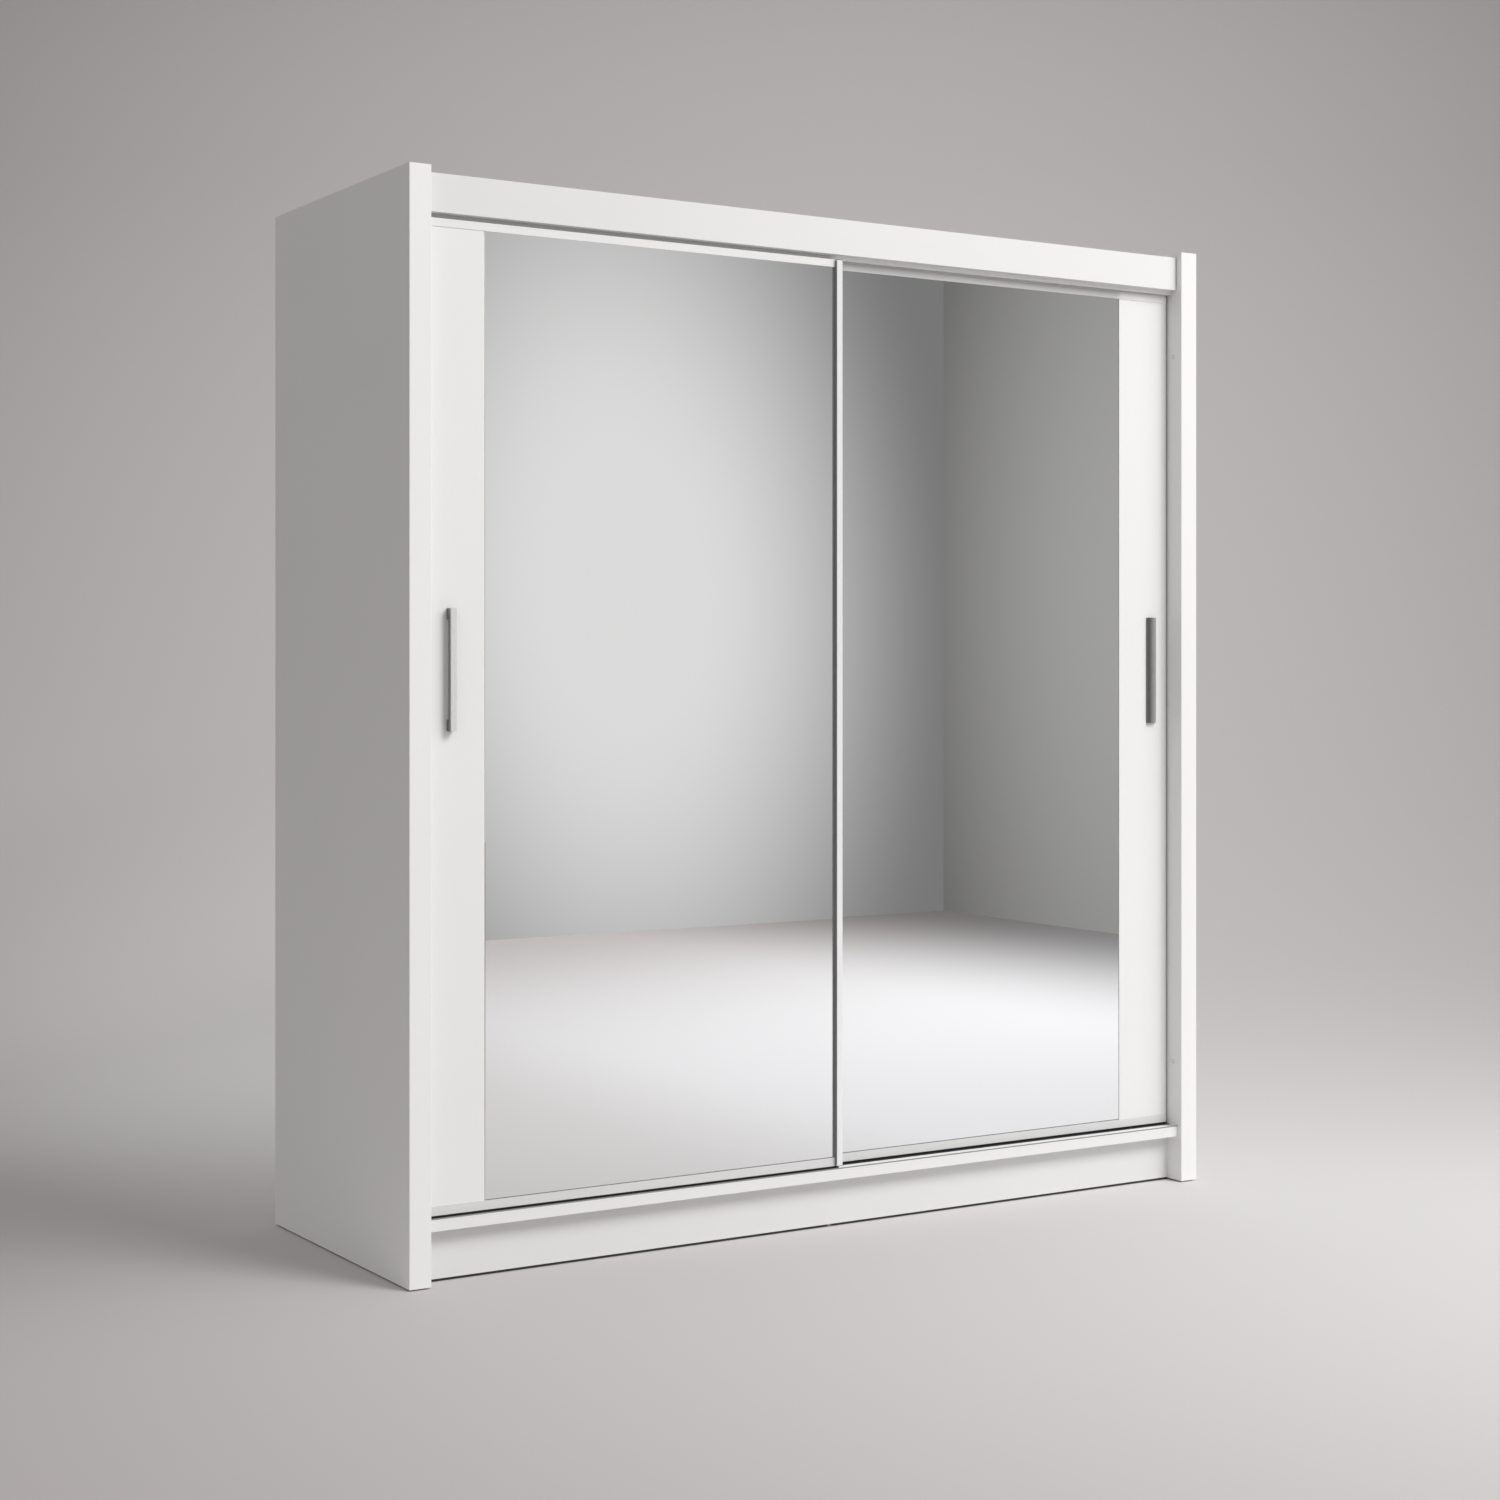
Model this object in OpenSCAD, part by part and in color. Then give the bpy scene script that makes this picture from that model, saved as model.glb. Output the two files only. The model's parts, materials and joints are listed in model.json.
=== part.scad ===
// Two-door sliding wardrobe with mirrored doors on bottom rollers and top guides.
//
// Carcass pieces are drawn in shop coordinates: x from the outer face of the left side,
// y from the front edges towards the back, z up from the floor.
// Door pieces are drawn in door coordinates: x from the handle edge towards the meeting
// edge, y from the door's face towards its back, z up from the door's bottom edge.

/* [Overall] */
// Width over the two sides
overall_w = 1820; // [1600:10:2200]
// Height to the top of the sides
overall_h = 1970; // [1900:10:2200]
// Depth from the front edges to the back
overall_d = 630; // [600:10:700]

/* [Boards] */
// Thickness of the sides, top, partition, shelves, plinths and fascia
board_t = 16; // [16:1:19]
// Thickness of the bottom panel
bottom_t = 18; // [16:1:22]
// Thickness of the back panels
back_t = 3; // [3:1:4]
// Width of each side's front edge, side board and post together
post_w = 42; // [38:1:60]
// Depth of the posts that frame the doors
post_d = 75; // [72:1:90]
// Thickness of the edge band over each side board and post
band_t = 2; // [1:0.5:3]
// Bevel on the front edges of the boards
ease = 0.6; // [0.2:0.1:0.9]

/* [Base and fascia] */
// Height of the glides under the sides and posts
glide_h = 3; // [2:1:6]
// Gap between the floor and the plinths
plinth_gap = 5; // [3:0.5:8]
// Height of the underside of the bottom panel
base_h = 96; // [80:1:120]
// Setback of the bottom panel's front edge
bottom_setback = 12; // [10:1:14]
// Setback of the plinth
plinth_setback = 44; // [30:1:60]
// Setback of the rear plinth, measured from the back
rear_plinth_setback = 60; // [40:5:120]
// Drop from the top of the sides to the top panel
top_recess = 10; // [0:1:30]
// Height of the fascia
fascia_h = 69; // [65:1:80]
// Setback of the fascia
fascia_setback = 16; // [14:1:18]
// Gap between each end of the fascia and its post
fascia_gap = 1.5; // [0.5:0.5:3]
// Thickness of the batten that carries the top track
batten_t = 25; // [19:1:32]

/* [Doors] */
// Gap between a closed door and its post
door_side_gap = 4; // [3:0.5:6]
// Overlap of the two closed doors at the middle
door_overlap = 18; // [14:1:40]
// Setback of the front door's face
door_setback = 19; // [19:1:22]
// Distance between the faces of the two doors
door_pitch = 26; // [26:0.5:28]
// Thickness of the door boards
door_t = 16; // [16:1:16]
// Height of the door bottoms above the bottom panel
door_lift = 9; // [8.5:0.5:10]
// Gap between the door tops and the track's middle lip
door_top_gap = 2; // [2:0.5:4]
// Thickness of the mirrors
mirror_t = 4; // [3:0.5:5]
// Width of the plain strip beside the front door's mirror
front_strip_w = 108; // [90:1:200]
// Width of the plain strip beside the rear door's mirror
rear_strip_w = 129; // [90:1:200]
// Height of the top rails' faces
top_rail_h = 14.5; // [12:0.5:20]
// Height of the bottom rails' faces
bottom_rail_h = 16.5; // [14:0.5:20]
// Width of the upright profiles at the meeting edges
stile_w = 12.6; // [10:0.2:16]
// How far the front door's stile stands out of its face
stile_proud = 8; // [4:0.5:10]
// Wall of the door rails
rail_t = 1.2; // [1:0.1:1.4]
// Wall of the upright profiles
stile_t = 1.5; // [1.2:0.1:1.8]

/* [Handles] */
// Length of the front door's bar handle
bar_len = 217; // [160:1:300]
// Length of the rear door's flat handle
flat_len = 223; // [160:1:300]
// Height of the handles' middle above the floor
handle_z = 1085; // [900:5:1200]
// Width of the front door's bar handle
bar_w = 12; // [10:0.5:16]
// How far the bar handle stands out of the door
bar_proud = 18; // [15:0.5:18]
// Depth of the bar itself
bar_d = 10.5; // [6:0.5:11]
// Distance from the handle edge to the bar's middle
bar_inset = 40; // [30:1:60]
// Width of the rear door's flat handle
flat_w = 23.5; // [14:0.5:26]
// How far the flat handle stands out, less than the gap between the doors
flat_proud = 8.5; // [5:0.5:8.5]
// Distance from the handle edge to the flat handle's middle
flat_inset = 42.5; // [30:0.5:60]

/* [Running gear] */
// Radius of the roller wheels over their flanges
wheel_r = 14; // [13:0.5:15]
// Width of the roller wheels
wheel_w = 6; // [5:0.5:6.5]
// Distance from a door's edge to its nearer wheel
wheel_inset = 90; // [60:5:150]
// Radius of the wheel axles
axle_r = 2.5; // [2:0.25:3]

/* [Inside] */
// Height of the hat shelf's underside
hat_z = 1650; // [1500:10:1680]
// Height of the hanging rail's centre below the hat shelf
rail_drop = 55; // [40:5:80]
// Number of adjustable shelves
shelf_count = 5; // [5:1:5]
// Number of pin holes for each shelf position
pin_rows = 3; // [1:2:5]

/* [Hidden] */
$fn = 48;
play = 0.1;                                   // clearance between pieces that fit together
eps = 1;                                      // overrun of cutting shapes

// Heights
bottom_top = base_h + bottom_t;
top_z = overall_h - top_recess;
top_under = top_z - board_t;
batten_z = top_under - batten_t;
door_z = bottom_top + door_lift;

// Widths and depths
inner_l = post_w;
inner_r = overall_w - post_w;
mid_x = overall_w / 2;
back_y = overall_d - 1 - back_t;              // face of the back panels towards the inside
strip_half = 11;                              // half the width of the back's joint strip
fascia_back = fascia_setback + board_t;
door_w = (inner_r - inner_l - 2 * door_side_gap + door_overlap) / 2;
door_back = door_setback + door_t;

// Top track: lips hang from a web, with a groove behind each door's plane; the front lip
// hides the front door's guides
track_wall = 1.4;
web_t = 1.5;
groove_w = 8.6;
top_track_h = 36;
lip_z = batten_z - top_track_h;               // underside of the front and middle lips
groove_y = fascia_back + track_wall;          // front side of the front groove
door_h = lip_z - door_top_gap - door_z;

// Bottom track: a base with a rib for each door's wheels and lips between them
base_t = 1.2;
rib_w = 2.4;
rib_h = 2.3;
front_lip_h = 5.5;
middle_lip_h = 5;
rear_lip_h = 6;
wheel_y = 10;                                 // wheel plane behind the door's face
track_back = door_setback + door_pitch + wheel_y + 14.5;

// Roller wheel: it rolls on the rib with the bottom of its groove
groove_depth = 1.8;
rib_clear = 0.3;
roll_r = wheel_r - groove_depth;
axle_z = bottom_top + base_t + rib_h + rib_clear + roll_r - door_z;
wheel_x = [wheel_inset, door_w - wheel_inset];

// Mirrors and the tongues that hold the upright profiles
mirror_gap = 0.8;
mirror_bevel = 1;
tongue_len = 8;
tongue_t = 2;
tongue_y = mirror_t + 5;

// Carriages, set into pockets in the backs of the doors
carriage_w = 62;
carriage_h = 41;
carriage_d = 11;
carriage_corner = 9;
carriage_lift = 0.3;
guide_x = [120, door_w - 120];
guide_half = 22;                              // half the width of a top guide
buffer_z = 130;                               // from each end of a door to its buffers

// Fittings
cam_r = 7.5;
cam_depth = 12.5;
cam_inset = 34;
bolt_hole_r = 3.5;
bolt_bite = 11;
dowel_r = 4;
pin_r = 2.5;

// Shelves
bay_w = mid_x - 1.5 * board_t;
bay_right_x = mid_x + board_t / 2;
shelf_pitch = (top_under - bottom_top + board_t) / (shelf_count + 1);
function shelf_z(i) = bottom_top - board_t + i * shelf_pitch;
shelf_y = 85;
shelf_d = back_y - 20 - shelf_y;
pin_y = [shelf_y + 40, shelf_y + shelf_d - 60];

// Hanging rail and its sockets
hang_y = shelf_y + shelf_d / 2;
hang_z = hat_z - rail_drop;
rail_hw = [30, 15];                           // height and width of the rail's section
rail_wall = 1.5;
socket_screw_z = 24;                          // screws above and below the rail's centre

// Wall fixing
wall_rail_h = 100;
wall_hole_r = 4;
wall_hole_spacing = 1200;
wall_hole_z = top_under - wall_rail_h / 2;

// A fitting joins a board's end, which carries the cam, to another board's face.
// Each is [point on the face, rotation, half the carrying board's thickness];
// its x axis runs into the carrying board and its z axis to the cam's open side.
function across(z, half, turn, x0, x1, ys) = concat(
    [for (y = ys) [[x0, y, z], [turn, 0, 0], half]],
    [for (y = ys) [[x1, y, z], [turn, 0, 180], half]]);
face_up = 0;
face_down = 180;
fit_y = [130, 520];
hat_fit_y = [150, 540];
half_t = board_t / 2;
side_in = board_t;
side_out = overall_w - board_t;
top_mid = top_z - half_t;
bottom_mid = base_h + bottom_t / 2;
top_fits = across(top_mid, half_t, face_up, side_in, side_out, fit_y);
bottom_fits = across(bottom_mid, bottom_t / 2, face_down, side_in, side_out, fit_y);
hat_fits = across(hat_z + half_t, half_t, face_down, side_in, mid_x - half_t, hat_fit_y);
partition_fits = concat(
    [for (y = [160, 500]) [[mid_x, y, top_under], [180, 90, 0], half_t]],
    [for (y = [160, 500]) [[mid_x, y, bottom_top], [0, -90, 0], half_t]]);
fascia_fits = [for (i = [0:3])
    [[inner_l + 150 + i * (inner_r - inner_l - 300) / 3, fascia_back, top_mid],
     [0, 0, 90], half_t]];
all_fits = concat(top_fits, bottom_fits, hat_fits, partition_fits, fascia_fits);

// Dowels share the fittings' form
dowel_y = [200, 450];
top_dowels = across(top_mid, 0, face_up, side_in, side_out, dowel_y);
bottom_dowels = across(bottom_mid, 0, face_up, side_in, side_out, dowel_y);
partition_dowels = concat(
    [for (y = [220, 440]) [[mid_x, y, top_under], [180, 90, 0], 0]],
    [for (y = [220, 440]) [[mid_x, y, bottom_top], [0, -90, 0], 0]]);
all_dowels = concat(top_dowels, bottom_dowels, partition_dowels);

// Screws and nails
batten_screw_x = [for (i = [0:4]) inner_l + 80 + i * (inner_r - inner_l - 160) / 4];
batten_screw_y = fascia_back + 30;
track_screw_x = [for (i = [0:4]) inner_l + 40 + i * (inner_r - inner_l - 80) / 4];
top_screw_y = (2 * groove_y + groove_w + door_pitch) / 2;
bottom_screw_y = door_setback + door_pitch + 2;
nail_r = 1;
nail_head_r = 2.4;
nail_pts = concat(
    [for (i = [0:9]) for (z = [bottom_mid, top_mid])
        [60 + i * (overall_w - 120) / 9, z]],
    [for (i = [1:8]) for (x = [side_in - 4, side_out + 4])
        [x, base_h + i * (top_z - base_h) / 9]]);

// Glides: [x, y, radius, height]
glide_pts = [[21, 37, 11, glide_h], [8, overall_d - 50, 7.5, glide_h],
    [overall_w - 21, 37, 11, glide_h], [overall_w - 8, overall_d - 50, 7.5, glide_h],
    [mid_x, plinth_setback + board_t / 2, 7.5, plinth_gap],
    [mid_x, overall_d - rear_plinth_setback + board_t / 2, 7.5, plinth_gap]];

// ---- placing -------------------------------------------------------------------------

// Shop coordinates to the part's frame: origin on the floor under the middle
module place() translate([-overall_w / 2, -overall_d / 2, 0]) children();

// Mirror image about the middle of the wardrobe, in shop coordinates
module on_right() translate([overall_w, 0, 0]) mirror([1, 0, 0]) children();

// Door coordinates to the part's frame
module in_front_door() place()
    translate([inner_l + door_side_gap, door_setback, door_z]) children();
module in_rear_door() place()
    translate([inner_r - door_side_gap, door_setback + door_pitch, door_z])
    mirror([1, 0, 0]) children();

// A board between two corners
module slab(a, b) translate(a) cube(b - a);

// A flat outline in y and z, run along x
module along_x(x, len) translate([x, 0, 0]) rotate([90, 0, 90]) linear_extrude(len) children();

// Section of a board in y and z with bevelled front edges
module eased(front, back, z0, z1) polygon([[back, z0], [front + ease, z0], [front, z0 + ease],
    [front, z1 - ease], [front + ease, z1], [back, z1]]);

module rod_y(r, y0, y1) translate([0, y0, 0]) rotate([-90, 0, 0]) cylinder(r = r, h = y1 - y0);

module rod_x(r, x0, x1) translate([x0, 0, 0]) rotate([0, 90, 0]) cylinder(r = r, h = x1 - x0);

module at(fits) for (f = fits) translate(f[0]) rotate(f[1]) children();

// ---- fittings ------------------------------------------------------------------------

// The bores for cams and bolts, cut out of both boards of each joint
module fit_bores(fits) for (f = fits) translate(f[0]) rotate(f[1]) {
    rod_x(pin_r, -bolt_bite, eps);
    rod_x(bolt_hole_r + play, 0, cam_inset);
    translate([cam_inset, 0, f[2] - cam_depth]) cylinder(r = cam_r, h = cam_depth + eps);
}

module dowel_bores(fits) at(fits) rod_x(dowel_r, -board_t * 0.65, 21);

module cam(half) translate([cam_inset, 0, half - cam_depth]) difference() {
    cylinder(r = cam_r - play, h = cam_depth - 0.5);
    translate([0, 0, cam_depth - half]) rod_x(bolt_hole_r + play, -cam_r, 3);
    for (a = [45, 135]) translate([0, 0, cam_depth - 1]) rotate([0, 0, a])
        cube([9, 1.6, 4], center = true);
}

module cam_bolt() {
    rod_x(pin_r - play / 2, -bolt_bite + 0.5, 0);
    rod_x(bolt_hole_r - play, 0, 22);
    rod_x(2, 21, 31);
    rod_x(bolt_hole_r - play, 30, 34.5);
}

// A countersunk screw pointing down, its head's face at z = 0
module csk_screw(len, grow = 0) {
    translate([0, 0, -2.6 - grow]) cylinder(r1 = 1.6 + grow, r2 = 4 + grow, h = 2.6 + grow);
    translate([0, 0, -len]) cylinder(r = 1.6 + grow, h = len - 2);
}

// A pan-head screw pointing down, its head standing on z = 0
module pan_screw(len) {
    difference() {
        cylinder(r1 = 3.4, r2 = 2.4, h = 1.6);
        for (a = [0, 90]) rotate([0, 0, a]) translate([-1.6, -0.35, 0.8]) cube([3.2, 0.7, 1]);
    }
    translate([0, 0, -len]) cylinder(r = 1.6, h = len);
}

module pan_bore(len) translate([0, 0, -len - play]) cylinder(r = 1.6 + play / 2, h = len + 5);

// ---- carcass -------------------------------------------------------------------------

// Left side board, undrilled, with the rebate that takes the back
module side_blank() difference() {
    slab([0, band_t, glide_h], [board_t, overall_d, overall_h]);
    slab([half_t, back_y, base_h], [board_t + eps, overall_d + eps, top_z]);
}

module side_bores() {
    fit_bores(concat(top_fits, bottom_fits));
    dowel_bores(concat(top_dowels, bottom_dowels));
    nail_bores();
    glide_bores();
}

module side_panel_left() color("whitesmoke") place() difference() {
    side_blank();
    side_bores();
    fit_bores(hat_fits);
    at_sockets() socket_screw_bores();
}

module side_panel_right() color("whitesmoke") place() difference() {
    on_right() side_blank();
    side_bores();
    pin_bores(side_out, 1);
}

module front_post() difference() {
    slab([board_t, band_t, glide_h], [post_w, post_d, overall_h]);
    glide_bores();
}

module front_post_left() color("white") place() front_post();
module front_post_right() color("white") place() on_right() front_post();

module edge_band() translate([0, 0, glide_h]) linear_extrude(overall_h - glide_h)
    polygon([[0, band_t], [0, ease], [ease, 0], [post_w - ease, 0], [post_w, ease], [post_w, band_t]]);

module edge_band_left() color("white") place() edge_band();
module edge_band_right() color("white") place() on_right() edge_band();

// A full-width board whose front corners are cut back round the posts
module notched_board(front, back, z0, z1) difference() {
    along_x(board_t, overall_w - 2 * board_t) eased(front, back, z0, z1);
    for (x = [0, inner_r]) slab([x, 0, z0 - eps], [x + post_w, post_d, z1 + eps]);
}

module bottom_panel() color("whitesmoke") place() difference() {
    notched_board(bottom_setback, back_y, base_h, bottom_top);
    fit_bores(concat(bottom_fits, partition_fits));
    dowel_bores(concat(bottom_dowels, partition_dowels));
    at_bottom_screws() pan_bore(14);
    nail_bores();
}

module top_panel() color("whitesmoke") place() difference() {
    notched_board(fascia_back, back_y, top_under, top_z);
    fit_bores(concat(top_fits, partition_fits, fascia_fits));
    dowel_bores(concat(top_dowels, partition_dowels));
    at_batten_screws() csk_screw(33, play);
    nail_bores();
}

module centre_partition() color("whitesmoke") place() difference() {
    slab([mid_x - half_t, post_d, bottom_top], [mid_x + half_t, back_y - 1, top_under]);
    fit_bores(concat(partition_fits, hat_fits));
    dowel_bores(partition_dowels);
    at_sockets() socket_screw_bores();
    pin_bores(bay_right_x, -1);
}

// Half of the back, nailed into the side board's rebate
module back_leaf() difference() {
    slab([half_t + play, back_y, base_h + 1], [mid_x - 0.6, back_y + back_t, top_z - 1]);
    nail_bores();
    wall_holes();
}

module back_panel_left() color("white") place() back_leaf();
module back_panel_right() color("white") place() on_right() back_leaf();

// H-shaped strip that joins the two halves of the back behind the partition
module back_joint_strip() color("gainsboro") place() translate([mid_x, back_y, bottom_top + play])
    linear_extrude(top_under - bottom_top - 2 * play) {
        translate([-strip_half, -1]) square([2 * strip_half, 1]);
        translate([-0.5, -1]) square([1, back_t + 2]);
        translate([-strip_half, back_t]) square([2 * strip_half, 1]);
    }

module fascia() color("white") place() difference() {
    along_x(inner_l + fascia_gap, inner_r - inner_l - 2 * fascia_gap)
        eased(fascia_setback, fascia_back, top_z - fascia_h, top_z);
    fit_bores(fascia_fits);
}

module track_batten() color("whitesmoke") place() difference() {
    slab([inner_l, fascia_back, batten_z], [inner_r, post_d, top_under]);
    at_batten_screws() csk_screw(33, play);
    at_top_screws() pan_bore(18);
}

module plinth_board(y) slab([board_t, y, plinth_gap], [overall_w - board_t, y + board_t, base_h]);

module front_plinth() color("white") place() difference() {
    plinth_board(plinth_setback);
    for (x = [0, inner_r]) slab([x, 0, 0], [x + post_w, post_d, base_h + eps]);
    glide_bores();
}

module rear_plinth() color("whitesmoke") place() difference() {
    plinth_board(overall_d - rear_plinth_setback);
    glide_bores();
}

// Board on edge that carries the middle of the bottom panel
module base_support() color("whitesmoke") place()
    slab([mid_x - half_t, plinth_setback + board_t, plinth_gap],
         [mid_x + half_t, overall_d - rear_plinth_setback, base_h]);

module wall_holes() for (i = [-1, 1])
    translate([mid_x + i * wall_hole_spacing / 2, 0, wall_hole_z])
    rod_y(wall_hole_r, back_y - board_t - eps, overall_d + eps);

// Stretchers under the top panel that take the screws into the wall
module wall_rails() color("whitesmoke") place() difference() {
    for (x = [board_t, bay_right_x])
        slab([x, back_y - board_t, top_under - wall_rail_h], [x + bay_w, back_y, top_under]);
    slab([mid_x - strip_half - play, back_y - 1 - play, 0],
         [mid_x + strip_half + play, back_y + eps, top_z]);
    wall_holes();
}

// ---- inside --------------------------------------------------------------------------

module hat_shelf() color("whitesmoke") place() difference() {
    along_x(board_t, bay_w) eased(shelf_y, shelf_y + shelf_d, hat_z, hat_z + board_t);
    fit_bores(hat_fits);
}

// An adjustable shelf that lies on its pins
module shelf(i) place() along_x(bay_right_x + 1, bay_w - 2)
    eased(shelf_y, shelf_y + shelf_d, shelf_z(i), shelf_z(i) + board_t);

module shelf_1() color("whitesmoke") shelf(1);
module shelf_2() color("whitesmoke") shelf(2);
module shelf_3() color("whitesmoke") shelf(3);
module shelf_4() color("whitesmoke") shelf(4);
module shelf_5() color("whitesmoke") shelf(5);

// Rows of blind holes for the pins; side is the way the holes run into the board
module pin_bores(x, side) for (i = [1:shelf_count]) for (y = pin_y)
    for (k = [-(pin_rows - 1) / 2 : (pin_rows - 1) / 2])
        translate([x, y, shelf_z(i) - pin_r + 32 * k])
        rod_x(pin_r + play / 2, side > 0 ? -eps : -10, side > 0 ? 10 : eps);

// A pin with a collar, cut flat on top where the shelf lies on it
module shelf_pin() difference() {
    union() {
        rod_x(pin_r, -9.5, 8);
        rod_x(3.8, 0, 1.2);
    }
    slab([-0.01, -5, pin_r], [9, 5, 5]);
}

module shelf_pins() color("silver") place() for (i = [1:shelf_count]) for (y = pin_y)
    translate([0, y, shelf_z(i) - pin_r]) {
        translate([bay_right_x, 0, 0]) shelf_pin();
        translate([side_out, 0, 0]) mirror([1, 0, 0]) shelf_pin();
    }

// Flat oval outline of the hanging rail, in y and z
module oval(h, w) {
    square([w, h - w], center = true);
    for (s = [-1, 1]) translate([0, s * (h - w) / 2]) circle(d = w);
}

module hanging_rail() color("silver") place() translate([0, hang_y, hang_z])
    along_x(board_t + 1.5, bay_w - 3) difference() {
        oval(rail_hw[0], rail_hw[1]);
        oval(rail_hw[0] - 2 * rail_wall, rail_hw[1] - 2 * rail_wall);
    }

// The two ends of the hanging rail, each facing into the left bay
module at_sockets() {
    translate([board_t, hang_y, hang_z]) children();
    translate([board_t + bay_w, hang_y, hang_z]) mirror([1, 0, 0]) children();
}

module at_socket_screws() for (s = [-1, 1]) translate([0, 0, s * socket_screw_z]) children();

module socket_screw_bores() at_socket_screws() rod_x(1.75, -10, eps);

// Cup with a flange, held by two screws
module rail_socket() {
    flange_t = 1.4;
    difference() {
        union() {
            along_x(0, flange_t) oval(60, 18);
            along_x(0, 12) oval(rail_hw[0] + 4, rail_hw[1] + 4);
        }
        along_x(flange_t, 12) oval(rail_hw[0] + 0.4, rail_hw[1] + 0.4);
        at_socket_screws() rod_x(1.75, -eps, 2);
    }
    at_socket_screws() translate([flange_t, 0, 0]) {
        rod_x(3.2, 0, 1.3);
        rod_x(1.6, -11, 0);
    }
}

module rail_sockets() color("silver") place() at_sockets() rail_socket();

// ---- tracks --------------------------------------------------------------------------

// Section of the top track in y and z: web, hanging lips and inward toes on the grooves
module top_track_section() {
    width = door_pitch + groove_w + 2 * track_wall;
    toe_drop = 26;
    toe = [1, 1.4];
    translate([fascia_back, batten_z - web_t]) square([width, web_t]);
    for (k = [0, 1]) translate([groove_y + k * door_pitch, batten_z]) {
        front_drop = k == 0 ? top_track_h : toe_drop;
        back_drop = top_track_h - 3 * k;
        translate([-track_wall, -front_drop]) square([track_wall, front_drop]);
        translate([groove_w, -back_drop]) square([track_wall, back_drop]);
        translate([0, -toe_drop]) square(toe);
        translate([groove_w - toe[0], -toe_drop]) square(toe);
    }
}

module at_top_screws() for (x = track_screw_x)
    translate([x, top_screw_y, batten_z - web_t]) mirror([0, 0, 1]) children();

module top_track() color("silver") place() difference() {
    along_x(inner_l, inner_r - inner_l) top_track_section();
    at_top_screws() pan_bore(5);
}

// Section of the bottom track: base, two running ribs with round tops and three lips
module bottom_track_section() translate([0, bottom_top]) {
    translate([bottom_setback, 0]) square([track_back - bottom_setback, base_t]);
    translate([bottom_setback, 0]) square([base_t, front_lip_h]);
    translate([door_setback + door_pitch - 5.6, 0]) square([1.4, middle_lip_h]);
    translate([track_back - base_t, 0]) square([base_t, rear_lip_h]);
    for (y = [0, door_pitch]) translate([door_setback + wheel_y + y, base_t]) {
        translate([-rib_w / 2, -base_t / 2]) square([rib_w, rib_h - rib_w / 2 + base_t / 2]);
        translate([0, rib_h - rib_w / 2]) circle(d = rib_w);
    }
}

module at_bottom_screws() for (x = track_screw_x)
    translate([x, bottom_screw_y, bottom_top + base_t]) children();

module bottom_track() color("silver") place() difference() {
    along_x(inner_l, inner_r - inner_l) bottom_track_section();
    at_bottom_screws() pan_bore(5);
}

module track_screws() color("gray") place() {
    at_top_screws() pan_screw(17);
    at_bottom_screws() pan_screw(14);
}

// Soft pads on the posts that stop the doors
module door_buffers() color("whitesmoke") place()
    for (y = [0, door_pitch]) for (z = [door_z + buffer_z, door_z + door_h - buffer_z])
        translate([0, door_setback + door_t / 2 + y, z]) {
            translate([inner_l, 0, 0]) buffer();
            translate([inner_r, 0, 0]) mirror([1, 0, 0]) buffer();
        }

module buffer() rotate([0, 90, 0]) cylinder(r1 = 5, r2 = 4, h = door_side_gap - 0.4);

// ---- feet and fixings ----------------------------------------------------------------

module glides() color("dimgray") place() for (g = glide_pts) translate([g[0], g[1], 0]) {
    cylinder(r1 = g[2] - 1, r2 = g[2], h = 1);
    translate([0, 0, 1]) cylinder(r = g[2], h = g[3] - 1);
    translate([0, 0, g[3]]) cylinder(r = 1.2, h = 14);
}

module glide_bores() for (g = glide_pts) translate([g[0], g[1], 0])
    cylinder(r = 1.3, h = g[3] + 15);

module cam_housings() color("lightgray") place()
    for (f = all_fits) translate(f[0]) rotate(f[1]) cam(f[2]);

module cam_bolts() color("goldenrod") place() at(all_fits) cam_bolt();

module dowels() color("burlywood") place() at(all_dowels) rod_x(dowel_r - play / 2, -10, 20);

module at_batten_screws() for (x = batten_screw_x) translate([x, batten_screw_y, top_z]) children();

module batten_screws() color("goldenrod") place() at_batten_screws() difference() {
    csk_screw(32);
    for (a = [0, 90]) rotate([0, 0, a]) translate([-2, -0.4, -1.2]) cube([4, 0.8, 2]);
}

module at_nails() for (p = nail_pts) translate([p[0], 0, p[1]]) children();

module nail_bores() at_nails() rod_y(nail_r + play / 2, back_y - 16, overall_d);

module back_panel_nails() color("silver") place() at_nails() {
    rod_y(nail_r, back_y - 15, back_y + back_t);
    rod_y(nail_head_r, back_y + back_t, overall_d - 0.2);
}

// ---- doors ---------------------------------------------------------------------------

// Outline of a carriage, in x and z, with its top corners rounded
module carriage_outline(grow = 0) {
    w = carriage_w / 2 + grow;
    h = carriage_h + grow;
    r = carriage_corner;
    translate([-w, 0]) square([2 * w, h - r]);
    translate([-w + r, 0]) square([2 * (w - r), h]);
    for (s = [-1, 1]) translate([s * (w - r), h - r]) circle(r);
}

// Outline in x and z, run from y0 to y1
module along_y(y0, y1) translate([0, y1, 0]) rotate([90, 0, 0]) linear_extrude(y1 - y0) children();

module at_wheels() for (x = wheel_x) translate([x, 0, 0]) children();
module at_guides() for (x = guide_x) translate([x, 0, door_h]) children();

// Screw places, each with its head towards the back of the door
function handle_screw_z(len) = [for (s = [-1, 1]) handle_z - door_z + s * (len / 2 - 12)];
carriage_screws = [[-22, 26], [22, 26]];
guide_screws = [[-15, -24], [15, -24]];

// Turns a screw drawn downwards so that its head faces the door's back
module head_back() rotate([-90, 0, 0]) children();

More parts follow.
